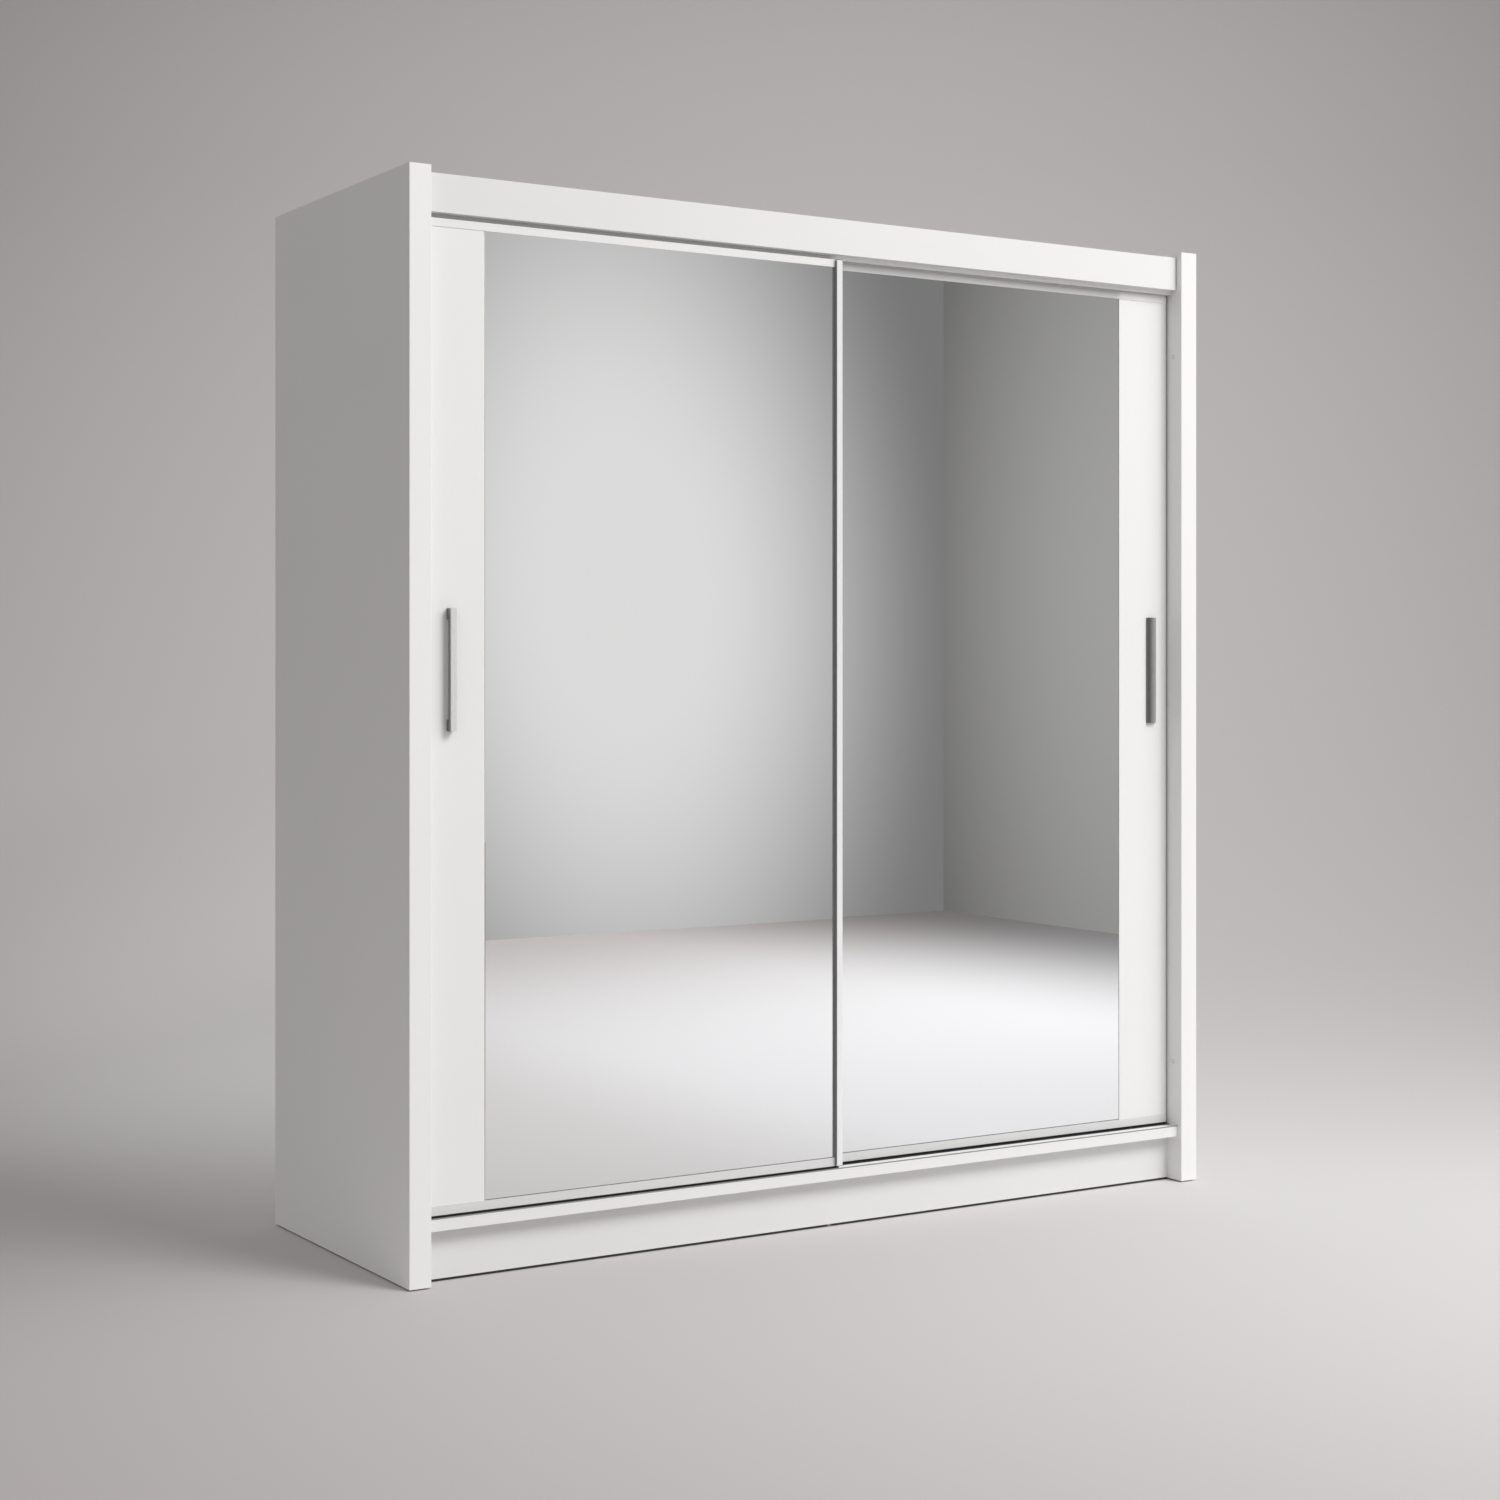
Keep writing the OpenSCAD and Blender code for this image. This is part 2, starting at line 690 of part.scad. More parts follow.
// Door board, recessed for the mirror, grooved for the stile and drilled for its fittings
module door_board(strip_w, handle_x, handle_len) difference() {
    slab([0, 0, stile_t], [door_w - stile_t, door_t, door_h - stile_t]);
    slab([strip_w, -eps, 0], [door_w, mirror_t + play, door_h]);
    slab([door_w - stile_t - tongue_len - 0.5, tongue_y - 0.6, 0],
         [door_w, tongue_y + tongue_t + 0.6, door_h]);
    at_wheels() along_y(door_t - carriage_d - play, door_t + eps)
        translate([0, carriage_lift - play]) carriage_outline(2 * play);
    for (x = wheel_x) for (p = carriage_screws) translate([x + p[0], door_t - 4, p[1]])
        head_back() pan_bore(7);
    for (x = guide_x) for (p = guide_screws) translate([x + p[0], door_t, door_h + p[1]])
        head_back() pan_bore(9);
    for (z = handle_screw_z(handle_len)) translate([handle_x, 0, z]) {
        rod_y(2.1, -eps, door_t + eps);
        rod_y(4, door_t - 3, door_t + eps);
    }
}

// Mirror with a bevel along its free upright edge
module door_mirror(strip_w) {
    x0 = strip_w + mirror_gap;
    x1 = door_w - stile_t - 0.5;
    translate([0, 0, stile_t + 1]) linear_extrude(door_h - 2 * (stile_t + 1))
        polygon([[x0, mirror_t], [x0, mirror_bevel], [x0 + mirror_bevel, 0], [x1, 0], [x1, mirror_t]]);
}

// Channel along the top or bottom edge of a door, its web at z = 0 and flanges upwards
module rail_channel(face_h) difference() {
    along_x(0, door_w - stile_t - play) {
        translate([-rail_t, 0]) square([door_t + 2 * rail_t, stile_t]);
        translate([-rail_t, 0]) square([rail_t, face_h]);
        translate([door_t, 0]) square([rail_t, face_h - 4]);
    }
    slab([door_w - stile_w - play, -rail_t - eps, -eps], [door_w, play, face_h + eps]);
    slab([door_w - stile_w - play, door_t - play, -eps],
         [door_w, door_t + rail_t + eps, face_h + eps]);
}

module door_bottom_rail() difference() {
    rail_channel(bottom_rail_h);
    at_wheels() slab([-carriage_w / 2 - play, door_t - carriage_d - play, -eps],
        [carriage_w / 2 + play, door_t + rail_t + eps, bottom_rail_h + eps]);
}

module door_top_rail() difference() {
    translate([0, 0, door_h]) mirror([0, 0, 1]) rail_channel(top_rail_h);
    at_guides() slab([-guide_half - play, door_t - play, -top_rail_h - eps],
        [guide_half + play, door_t + rail_t + eps, eps]);
}

// Section of the front door's stile: a box that stands out of the face, a wall over the
// board's edge and a barbed tongue in the board's groove
module stile_box() translate([door_w - stile_w, -stile_proud]) difference() {
    square([stile_w, stile_proud - 0.2]);
    translate([stile_t, stile_t]) square([stile_w - 2 * stile_t, stile_proud - 0.2 - 2 * stile_t]);
}

module stile_wall() translate([door_w - stile_t, -0.3]) square([stile_t, door_t + 0.3]);

module stile_tongue() translate([door_w - stile_t - tongue_len, tongue_y]) {
    square([tongue_len + 0.2, tongue_t]);
    for (x = [0.5, 3.5]) translate([x, 0])
        polygon([[0, 0], [2, -0.5], [2, tongue_t + 0.5], [0, tongue_t]]);
}

module door_stile() translate([0, 0, stile_t]) linear_extrude(door_h - 2 * stile_t) {
    stile_box();
    stile_wall();
    stile_tongue();
}

// Plastic caps that plug the stile's ends
module stile_cap() {
    linear_extrude(stile_t) {
        translate([door_w - stile_w, -stile_proud]) square([stile_w, stile_proud - 0.2]);
        stile_wall();
    }
    wall = stile_t + play;
    translate([door_w - stile_w + wall, -stile_proud + wall, 0])
        cube([stile_w - 2 * wall, stile_proud - 0.2 - 2 * wall, 8]);
}

// The rear door's meeting edge: a plain channel that leaves room for the front door
module edge_channel() translate([0, 0, stile_t]) linear_extrude(door_h - 2 * stile_t) {
    translate([door_w - stile_t, -rail_t]) square([stile_t, door_t + 2 * rail_t]);
    translate([door_w - stile_w, -rail_t]) square([stile_w, rail_t - 0.05]);
    translate([door_w - stile_w, door_t + 0.05]) square([stile_w, rail_t - 0.05]);
    stile_tongue();
}

// Tapped holes in a handle's back, about the handle's middle
module handle_screw_bores(len, depth) for (s = [-1, 1])
    translate([0, 0, s * (len / 2 - 12)]) rod_y(1.65, -depth, eps);

// Bar handle on two feet, with bevelled long edges
module bar_handle() translate([bar_inset, 0, handle_z - door_z]) difference() {
    foot_h = 20;
    bevel = 0.8;
    half_w = bar_w / 2;
    translate([0, 0, -bar_len / 2]) linear_extrude(bar_len)
        polygon([[-half_w, 0], [-half_w, bevel - bar_proud], [bevel - half_w, -bar_proud],
                 [half_w - bevel, -bar_proud], [half_w, bevel - bar_proud], [half_w, 0]]);
    slab([-bar_w, bar_d - bar_proud, foot_h - bar_len / 2], [bar_w, eps, bar_len / 2 - foot_h]);
    handle_screw_bores(bar_len, 10);
}

// Flat handle with bevelled long edges
module flat_handle() translate([flat_inset, 0, handle_z - door_z]) difference() {
    bevel = 4;
    half_w = flat_w / 2;
    translate([0, 0, -flat_len / 2]) linear_extrude(flat_len)
        polygon([[-half_w, 0], [-half_w, bevel - flat_proud], [bevel - half_w, -flat_proud],
                 [half_w - bevel, -flat_proud], [half_w, bevel - flat_proud], [half_w, 0]]);
    handle_screw_bores(flat_len, 6);
}

// Roller carriage: a moulded housing with a slot for its wheel, an axle and the
// eccentric that sets the door's height
module carriage() {
    y0 = door_t - carriage_d;
    eccentric_z = 31;
    difference() {
        translate([0, 0, carriage_lift]) along_y(y0, door_t) carriage_outline();
        slab([-wheel_r - 1.5, wheel_y - wheel_w / 2 - 0.4, -eps],
             [wheel_r + 1.5, wheel_y + wheel_w / 2 + 0.4, axle_z + wheel_r + 1.5]);
        translate([0, 0, axle_z]) rod_y(axle_r + 0.05, y0 - eps, door_t + eps);
        for (p = carriage_screws) translate([p[0], 0, p[1]]) {
            rod_y(1.7, y0 - eps, door_t + eps);
            rod_y(4, door_t - 4, door_t + eps);
        }
        translate([0, 0, eccentric_z]) rod_y(5, door_t - 3, door_t + eps);
    }
    translate([0, 0, axle_z]) rod_y(axle_r, y0, door_t - 0.3);
    translate([0, 0, eccentric_z]) difference() {
        rod_y(5 - play, door_t - 3, door_t - 0.2);
        for (a = [0, 90]) rotate([0, a, 0]) slab([-3, door_t - 1.6, -0.5], [3, door_t + eps, 0.5]);
    }
}

// Top guide: a block on the door's back with a round-ended tongue that runs in the track
module top_guide() {
    difference() {
        along_y(door_t, door_t + 6) translate([-guide_half, -36]) square([2 * guide_half, 35]);
        for (p = guide_screws) translate([p[0], 0, p[1]]) {
            rod_y(1.7, door_t - eps, door_t + 7);
            rod_y(4, door_t + 4, door_t + 7);
        }
        slab([-15, door_t + 4, -14], [15, door_t + 7, eps]);
    }
    along_y(door_t + 0.9, door_t + 4.5) {
        translate([-13, -1.2]) square([26, 18]);
        translate([-7, -1.2]) square([14, 24]);
        for (s = [-1, 1]) translate([s * 7, 16.8]) circle(6);
    }
}

module door_screws(handle_x, handle_len) {
    for (x = wheel_x) for (p = carriage_screws)
        translate([x + p[0], door_t - 4, p[1]]) head_back() pan_screw(7);
    for (x = guide_x) for (p = guide_screws)
        translate([x + p[0], door_t + 4, door_h + p[1]]) head_back() pan_screw(12.5);
    for (z = handle_screw_z(handle_len))
        translate([handle_x, door_t - 3, z]) head_back() pan_screw(18);
}

// Grooved roller wheel about the y axis, with a bearing ring and holes in its web
module roller_wheel() rotate([90, 0, 0]) difference() {
    rotate_extrude() difference() {
        translate([axle_r + 0.05, -wheel_w / 2]) square([wheel_r - axle_r - 0.05, wheel_w]);
        translate([wheel_r, 0]) circle(r = groove_depth);
        for (s = [-1, 1]) translate([7.8, s * wheel_w / 2]) square([6, 2.6], center = true);
    }
    for (i = [0:4]) rotate([0, 0, i * 72]) translate([7.8, 0, 0])
        cylinder(r = 1.6, h = wheel_w, center = true);
}

module wheel_at(x) translate([x, wheel_y, axle_z]) roller_wheel();

module front_door_board() color("white") in_front_door()
    door_board(front_strip_w, bar_inset, bar_len);
module front_door_mirror() color("lightsteelblue") in_front_door() door_mirror(front_strip_w);
module front_door_top_rail() color("silver") in_front_door() door_top_rail();
module front_door_bottom_rail() color("silver") in_front_door() door_bottom_rail();
module front_door_stile() color("silver") in_front_door() door_stile();
module front_door_stile_caps() color("lightgray") in_front_door() {
    stile_cap();
    translate([0, 0, door_h]) mirror([0, 0, 1]) stile_cap();
}
module front_door_handle() color("darkgray") in_front_door() bar_handle();
module front_door_carriages() color("gray") in_front_door() at_wheels() carriage();
module front_door_top_guides() color("gray") in_front_door() at_guides() top_guide();
module front_door_screws() color("dimgray") in_front_door() door_screws(bar_inset, bar_len);

module rear_door_board() color("white") in_rear_door()
    door_board(rear_strip_w, flat_inset, flat_len);
module rear_door_mirror() color("lightsteelblue") in_rear_door() door_mirror(rear_strip_w);
module rear_door_top_rail() color("silver") in_rear_door() door_top_rail();
module rear_door_bottom_rail() color("silver") in_rear_door() door_bottom_rail();
module rear_door_edge_profile() color("silver") in_rear_door() edge_channel();
module rear_door_handle() color("darkgray") in_rear_door() flat_handle();
module rear_door_carriages() color("gray") in_rear_door() at_wheels() carriage();
module rear_door_top_guides() color("gray") in_rear_door() at_guides() top_guide();
module rear_door_screws() color("dimgray") in_rear_door() door_screws(flat_inset, flat_len);

module front_wheel_outer() color("white") in_front_door() wheel_at(wheel_x[0]);
module front_wheel_inner() color("white") in_front_door() wheel_at(wheel_x[1]);
module rear_wheel_outer() color("white") in_rear_door() wheel_at(wheel_x[0]);
module rear_wheel_inner() color("white") in_rear_door() wheel_at(wheel_x[1]);

side_panel_left();
side_panel_right();
front_post_left();
front_post_right();
edge_band_left();
edge_band_right();
bottom_panel();
top_panel();
centre_partition();
back_panel_left();
back_panel_right();
back_joint_strip();
fascia();
track_batten();
front_plinth();
rear_plinth();
base_support();
wall_rails();
hat_shelf();
shelf_1();
shelf_2();
shelf_3();
shelf_4();
shelf_5();
shelf_pins();
hanging_rail();
rail_sockets();
top_track();
bottom_track();
track_screws();
door_buffers();
glides();
cam_housings();
cam_bolts();
dowels();
batten_screws();
back_panel_nails();
front_door_board();
front_door_mirror();
front_door_top_rail();
front_door_bottom_rail();
front_door_stile();
front_door_stile_caps();
front_door_handle();
front_door_carriages();
front_door_top_guides();
front_door_screws();
rear_door_board();
rear_door_mirror();
rear_door_top_rail();
rear_door_bottom_rail();
rear_door_edge_profile();
rear_door_handle();
rear_door_carriages();
rear_door_top_guides();
rear_door_screws();
front_wheel_outer();
front_wheel_inner();
rear_wheel_outer();
rear_wheel_inner();
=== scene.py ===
import json
import math

import bpy
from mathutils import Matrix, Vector


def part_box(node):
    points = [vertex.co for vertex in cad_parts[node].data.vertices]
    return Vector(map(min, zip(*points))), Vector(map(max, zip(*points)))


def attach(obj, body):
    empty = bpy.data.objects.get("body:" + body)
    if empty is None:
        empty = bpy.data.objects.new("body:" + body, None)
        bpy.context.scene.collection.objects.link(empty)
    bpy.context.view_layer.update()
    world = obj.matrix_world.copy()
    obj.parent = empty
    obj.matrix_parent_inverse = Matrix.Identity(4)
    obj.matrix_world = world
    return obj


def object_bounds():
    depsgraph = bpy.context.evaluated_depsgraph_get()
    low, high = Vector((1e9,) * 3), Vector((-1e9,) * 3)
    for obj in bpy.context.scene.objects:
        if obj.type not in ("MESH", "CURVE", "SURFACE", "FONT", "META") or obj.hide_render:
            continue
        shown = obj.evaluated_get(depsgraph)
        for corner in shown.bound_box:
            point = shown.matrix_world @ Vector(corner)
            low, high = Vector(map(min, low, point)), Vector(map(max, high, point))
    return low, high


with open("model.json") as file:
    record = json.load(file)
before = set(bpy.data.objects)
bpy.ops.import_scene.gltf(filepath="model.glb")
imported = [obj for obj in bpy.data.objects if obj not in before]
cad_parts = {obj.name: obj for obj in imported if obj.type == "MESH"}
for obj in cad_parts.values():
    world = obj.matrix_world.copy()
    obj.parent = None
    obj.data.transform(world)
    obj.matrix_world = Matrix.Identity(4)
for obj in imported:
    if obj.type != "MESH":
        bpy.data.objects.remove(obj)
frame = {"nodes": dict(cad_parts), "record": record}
cad_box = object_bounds()
record = frame["record"]

# ---- finishes ------------------------------------------------------------------------

LEFT_END, RIGHT_END = cad_box[0][0], cad_box[1][0]
PATTERN_LOW, PATTERN_HIGH = 0.3, 0.7     # where most of a noise pattern's values lie
DRAWN_OUT = 0.012                        # how far fine lines are drawn out along a piece
LINES_ALONG_X, LINES_ALONG_Z = (DRAWN_OUT, 1, 1), (1, 1, DRAWN_OUT)
LINE_SCALE, BROAD_LINE_SCALE = 1200, 900
LINE_DETAIL = 3.0
WARMTH = 0.993                           # blue of a grey tone against its red and green


def start_finish(name, **plain):
    """A material, its node tree, its shader with plain values set, and Object coordinates"""
    finish = bpy.data.materials.new(name)
    finish.use_nodes = True
    tree = finish.node_tree
    shader = tree.nodes["Principled BSDF"]
    for socket, value in plain.items():
        shader.inputs[socket.replace("_", " ")].default_value = value
    place = tree.nodes.new("ShaderNodeTexCoord")
    return finish, tree, shader, place.outputs["Object"]


def grain(tree, place, scale, stretch=(1, 1, 1), detail=2.0):
    """Soft noise; a stretch below 1 draws it out along that axis"""
    mapping = tree.nodes.new("ShaderNodeMapping")
    mapping.inputs["Scale"].default_value = stretch
    noise = tree.nodes.new("ShaderNodeTexNoise")
    noise.inputs["Scale"].default_value = scale
    noise.inputs["Detail"].default_value = detail
    tree.links.new(place, mapping.inputs["Vector"])
    tree.links.new(mapping.outputs["Vector"], noise.inputs["Vector"])
    return noise.outputs["Fac"]


def spread(tree, value, low, high):
    """A pattern's middle range turned into values from low to high"""
    ranged = tree.nodes.new("ShaderNodeMapRange")
    ranged.inputs["From Min"].default_value = PATTERN_LOW
    ranged.inputs["From Max"].default_value = PATTERN_HIGH
    ranged.inputs["To Min"].default_value = low
    ranged.inputs["To Max"].default_value = high
    tree.links.new(value, ranged.inputs["Value"])
    return ranged.outputs["Result"]


def tones(tree, value, dark, light):
    """A pattern turned into colours between two tones"""
    ramp = tree.nodes.new("ShaderNodeValToRGB")
    ramp.color_ramp.elements[0].position = PATTERN_LOW
    ramp.color_ramp.elements[0].color = (*dark, 1)
    ramp.color_ramp.elements[1].position = PATTERN_HIGH
    ramp.color_ramp.elements[1].color = (*light, 1)
    tree.links.new(value, ramp.inputs["Fac"])
    return ramp.outputs["Color"]


def mixed(tree, share, first, second, how="MIX"):
    """One colour giving way to another, by a share from 0 to 1; None is the whole share"""
    blend = tree.nodes.new("ShaderNodeMix")
    blend.data_type = "RGBA"
    blend.blend_type = how
    if share is None:
        blend.inputs["Factor"].default_value = 1.0
    else:
        tree.links.new(share, blend.inputs["Factor"])
    tree.links.new(first, blend.inputs["A"])
    if isinstance(second, tuple):
        blend.inputs["B"].default_value = (*second, 1)
    else:
        tree.links.new(second, blend.inputs["B"])
    return blend.outputs["Result"]


def step(tree, value, at, width):
    """0 before a value and 1 past it; a negative width turns it round"""
    ranged = tree.nodes.new("ShaderNodeMapRange")
    ranged.inputs["From Min"].default_value = at - width
    ranged.inputs["From Max"].default_value = at + width
    tree.links.new(value, ranged.inputs["Value"])
    return ranged.outputs["Result"]


def product(tree, first, second):
    """Two values multiplied"""
    both = tree.nodes.new("ShaderNodeMath")
    both.operation = "MULTIPLY"
    tree.links.new(first, both.inputs[0])
    tree.links.new(second, both.inputs[1])
    return both.outputs["Value"]


def across(tree, place, axis, start, end, stops):
    """Grey tones laid from start to end along one axis"""
    parts = tree.nodes.new("ShaderNodeSeparateXYZ")
    tree.links.new(place, parts.inputs["Vector"])
    ranged = tree.nodes.new("ShaderNodeMapRange")
    ranged.inputs["From Min"].default_value = start
    ranged.inputs["From Max"].default_value = end
    tree.links.new(parts.outputs[axis], ranged.inputs["Value"])
    ramp = tree.nodes.new("ShaderNodeValToRGB")
    for at, tone in stops[1:-1]:
        ramp.color_ramp.elements.new(at)
    for stop, (at, tone) in zip(ramp.color_ramp.elements, stops):
        stop.position = at
        stop.color = (tone, tone, tone * WARMTH, 1)
    tree.links.new(ranged.outputs["Result"], ramp.inputs["Fac"])
    return ramp.outputs["Color"]


def relief(tree, shader, height, depth, strength):
    """Fine bumps on the surface, depth in metres"""
    bump = tree.nodes.new("ShaderNodeBump")
    bump.inputs["Distance"].default_value = depth
    bump.inputs["Strength"].default_value = strength
    tree.links.new(height, bump.inputs["Height"])
    tree.links.new(bump.outputs["Normal"], shader.inputs["Normal"])


def coat(tree, shader, colour, pattern, smoothest, roughest):
    """A surface's colour, and its roughness following a pattern"""
    tree.links.new(colour, shader.inputs["Base Color"])
    rough = spread(tree, pattern, smoothest, roughest)
    tree.links.new(rough, shader.inputs["Roughness"])


def toned_down(tone, share):
    """A tone made a little darker"""
    return [c * share for c in tone]


def melamine(name, tone, rough, pearl=0.2, ends=None):
    """White board: a smooth press finish with a faint pearl and hardly any change of tone;
    where ends are given they paint shade across it, as its tone at the wardrobe's left and right"""
    finish, tree, shader, place = start_finish(name, Specular_IOR_Level=0.45)
    cloud = grain(tree, place, scale=2.6, detail=1.0)
    white = tones(tree, cloud, toned_down(tone, 0.985), tone)
    # Painted shade: a tone laid from the wardrobe's left end to its right
    if ends:
        change = across(tree, place, "X", LEFT_END, RIGHT_END, list(zip((0, 1), ends)))
        white = mixed(tree, None, white, change, "MULTIPLY")
    press = grain(tree, place, scale=900, detail=1.0)
    coat(tree, shader, white, press, rough - 0.03, rough + 0.03)
    relief(tree, shader, press, depth=0.00003, strength=pearl)
    return finish


def drawn_metal(name, bare, rough, stretch, tone):
    """Metal with fine lines, as an extrusion has; bare is how much of it shows through the
    matt anodised skin"""
    finish, tree, shader, place = start_finish(name, Metallic=bare)
    fine = grain(tree, place, BROAD_LINE_SCALE, stretch, LINE_DETAIL)
    colour = tones(tree, fine, toned_down(tone, 0.93), tone)
    coat(tree, shader, colour, fine, rough - 0.06, rough + 0.06)
    relief(tree, shader, fine, depth=0.00002, strength=0.35)
    return finish


def lined_metal(name, bare, rough, stretch, axis, start, end, stops):
    """Metal with fine lines, its tone changing from start to end along one axis; the change paints
    light and shade onto it
    """
    finish, tree, shader, place = start_finish(name, Metallic=bare)
    fine = grain(tree, place, LINE_SCALE, stretch, LINE_DETAIL)
    lines = tones(tree, fine, (0.94, 0.94, 0.94), (1, 1, 1))
    tone = across(tree, place, axis, start, end, stops)
    colour = mixed(tree, None, tone, lines, "MULTIPLY")
    coat(tree, shader, colour, fine, rough - 0.06, rough + 0.06)
    relief(tree, shader, fine, depth=0.00003, strength=0.35)
    return finish


def running_track():
    """Anodised track with painted shade: its front lip greyed along the top, and dark from the top
    of its middle lip to the back, where shade falls in the channel"""
    finish, tree, shader, place = start_finish("running_track", Metallic=0.1)
    fine = grain(tree, place, LINE_SCALE, LINES_ALONG_X, LINE_DETAIL)
    tone = tones(tree, fine, (0.85, 0.85, 0.842), (0.9, 0.9, 0.892))
    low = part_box("bottom_track")[0]
    front_lip_back, front_lip_top = low.y + 0.0016, low.z + 0.0032
    middle_lip_front, middle_lip_top = low.y + 0.026, low.z + 0.0034
    painted_shade_from = low.y + 0.03
    parts = tree.nodes.new("ShaderNodeSeparateXYZ")
    tree.links.new(place, parts.inputs["Vector"])
    depth, height = parts.outputs["Y"], parts.outputs["Z"]
    # Painted shade: the front lip greyed along its top
    painted_lip_shade = product(tree, step(tree, depth, front_lip_back, width=-0.0002),
                   step(tree, height, front_lip_top, width=0.0003))
    tone = mixed(tree, painted_lip_shade, tone, (0.3, 0.3, 0.3))
    # Painted shade in the channel: dark from the middle lip's face back, below its top
    dark = product(tree, step(tree, depth, middle_lip_front, width=0.0002),
                   step(tree, height, middle_lip_top, width=0.0003))
    tone = mixed(tree, dark, tone, (0.05, 0.05, 0.05))
    # Painted shade: everything behind the middle lip dark
    painted_shade_back = step(tree, depth, painted_shade_from, width=0.0005)
    tone = mixed(tree, painted_shade_back, tone, (0.06, 0.06, 0.06))
    coat(tree, shader, tone, fine, smoothest=0.3, roughest=0.42)
    relief(tree, shader, fine, depth=0.00002, strength=0.35)
    return finish


def plated_metal(name, tone, rough):
    """Bright plating with slight cloudy wear"""
    finish, tree, shader, place = start_finish(name, Metallic=1.0)
    cloud = grain(tree, place, scale=60)
    colour = tones(tree, cloud, toned_down(tone, 0.9), tone)
    coat(tree, shader, colour, cloud, rough, rough + 0.07)
    return finish


def moulded(name, tone, rough, grit=500, depth=0.00004):
    """Moulded plastic or rubber with a fine spark-eroded grain"""
    finish, tree, shader, place = start_finish(name)
    fine = grain(tree, place, grit)
    colour = tones(tree, fine, toned_down(tone, 0.92), tone)
    coat(tree, shader, colour, fine, rough - 0.05, rough + 0.05)
    relief(tree, shader, fine, depth=depth, strength=0.3)
    return finish


def silvered_glass():
    """Mirror: silvering behind clear glass, with a breath of haze here and there"""
    finish, tree, shader, place = start_finish("mirror_glass", Metallic=1.0, Coat_Weight=0.3)
    shader.inputs["Coat Roughness"].default_value = 0.02
    haze = grain(tree, place, scale=1.7)
    clear = (0.955, 0.962, 0.962)
    colour = tones(tree, haze, toned_down(clear, 0.992), clear)
    coat(tree, shader, colour, haze, smoothest=0.004, roughest=0.012)
    return finish


def fibre_board():
    """Thin painted hardboard with a fibrous surface"""
    finish, tree, shader, place = start_finish("white_hardboard")
    fibres = grain(tree, place, scale=350, stretch=(1, 1, 0.35), detail=4.0)
    colour = tones(tree, fibres, (0.72, 0.715, 0.70), (0.78, 0.775, 0.76))
    coat(tree, shader, colour, fibres, smoothest=0.55, roughest=0.7)
    relief(tree, shader, fibres, depth=0.0001, strength=0.3)
    return finish


def beech():
    """Plain beech with short darker flecks along the grain"""
    finish, tree, shader, place = start_finish("beech")
    flecks = grain(tree, place, scale=700, stretch=(0.08, 1, 1), detail=3.0)
    colour = tones(tree, flecks, (0.42, 0.24, 0.12), (0.62, 0.42, 0.25))
    coat(tree, shader, colour, flecks, smoothest=0.5, roughest=0.65)
    relief(tree, shader, flecks, depth=0.0001, strength=0.3)
    return finish


board = melamine("white_board", (0.85, 0.85, 0.842), rough=0.42)
edge_band = melamine("white_edge_band", (0.885, 0.885, 0.877), rough=0.34, pearl=0.08)
# The fascia carries painted shade, darker towards the wardrobe's left end
fascia_board = melamine("white_fascia", (0.84, 0.84, 0.832), rough=0.42, ends=(0.92, 1.0))
# The plinth is a darker copy of the white board: painted shade, for the shadow under the bottom
# board
plinth_board = melamine("white_plinth", (0.785, 0.785, 0.777), rough=0.42)
deck_board = melamine("white_deck", (0.84, 0.84, 0.832), rough=0.36, pearl=0.08)

rails = drawn_metal("satin_aluminium_rails", bare=0.25, rough=0.36, stretch=LINES_ALONG_X,
                    tone=(0.82, 0.82, 0.815))
# The uprights are a lighter copy of the rail aluminium: painted light, for the bright reflection
# down the stile
uprights = drawn_metal("satin_aluminium_uprights", bare=0.25, rough=0.33,
                       stretch=LINES_ALONG_Z, tone=(0.95, 0.95, 0.952))
# The front door's top rail is a lighter copy of the rail aluminium: painted light, as it stands
# clear of the fascia's shade
front_rail = drawn_metal("satin_aluminium_front_rail", bare=0.15, rough=0.36,
                         stretch=LINES_ALONG_X, tone=(0.92, 0.92, 0.913))

# The rear rail is brighter over the board strip than over the mirror: painted shade over the
# mirror under the fascia, painted light over the strip
strip_share = (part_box("rear_door_mirror")[1].x - LEFT_END) / (RIGHT_END - LEFT_END)
rear_rail = lined_metal(
    "satin_aluminium_rear_rail", bare=0.2, rough=0.36, stretch=LINES_ALONG_X,
    axis="X", start=LEFT_END, end=RIGHT_END,
    stops=[(0.0, 0.68), (strip_share - 0.004, 0.68), (strip_share + 0.004, 0.95), (1.0, 0.95)])
# The top track is brighter over the right door than over the left: painted shade over the left
# door, painted light over the right
head_track = lined_metal(
    "satin_aluminium_track", bare=0.1, rough=0.36, stretch=LINES_ALONG_X,
    axis="X", start=LEFT_END, end=RIGHT_END,
    stops=[(0.0, 0.55), (0.495, 0.55), (0.505, 0.95), (1.0, 0.95)])
# The bar is bright on its face and dark down its flanks: a painted highlight on the face, and
# painted shade, the reflection of the shaded door, down the flanks
BAR_FLANK = 0.01
bar_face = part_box("front_door_handle")[0].y
bar_steel = lined_metal(
    "satin_steel_bar", bare=0.55, rough=0.3, stretch=LINES_ALONG_Z,
    axis="Y", start=bar_face, end=bar_face + BAR_FLANK,
    stops=[(0.0, 0.93), (0.07, 0.93), (0.13, 0.4), (0.7, 0.24), (1.0, 0.2)])
# The flat handle's tone climbs from its left edge to its right: painted shade, darkest along its
# left edge
flat_low, flat_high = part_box("rear_door_handle")
flat_steel = lined_metal(
    "satin_steel_flat", bare=0.8, rough=0.3, stretch=LINES_ALONG_Z,
    axis="X", start=flat_low.x, end=flat_high.x,
    stops=[(0.0, 0.18), (0.14, 0.18), (0.24, 0.33), (0.5, 0.54), (0.75, 0.73), (1.0, 0.73)])

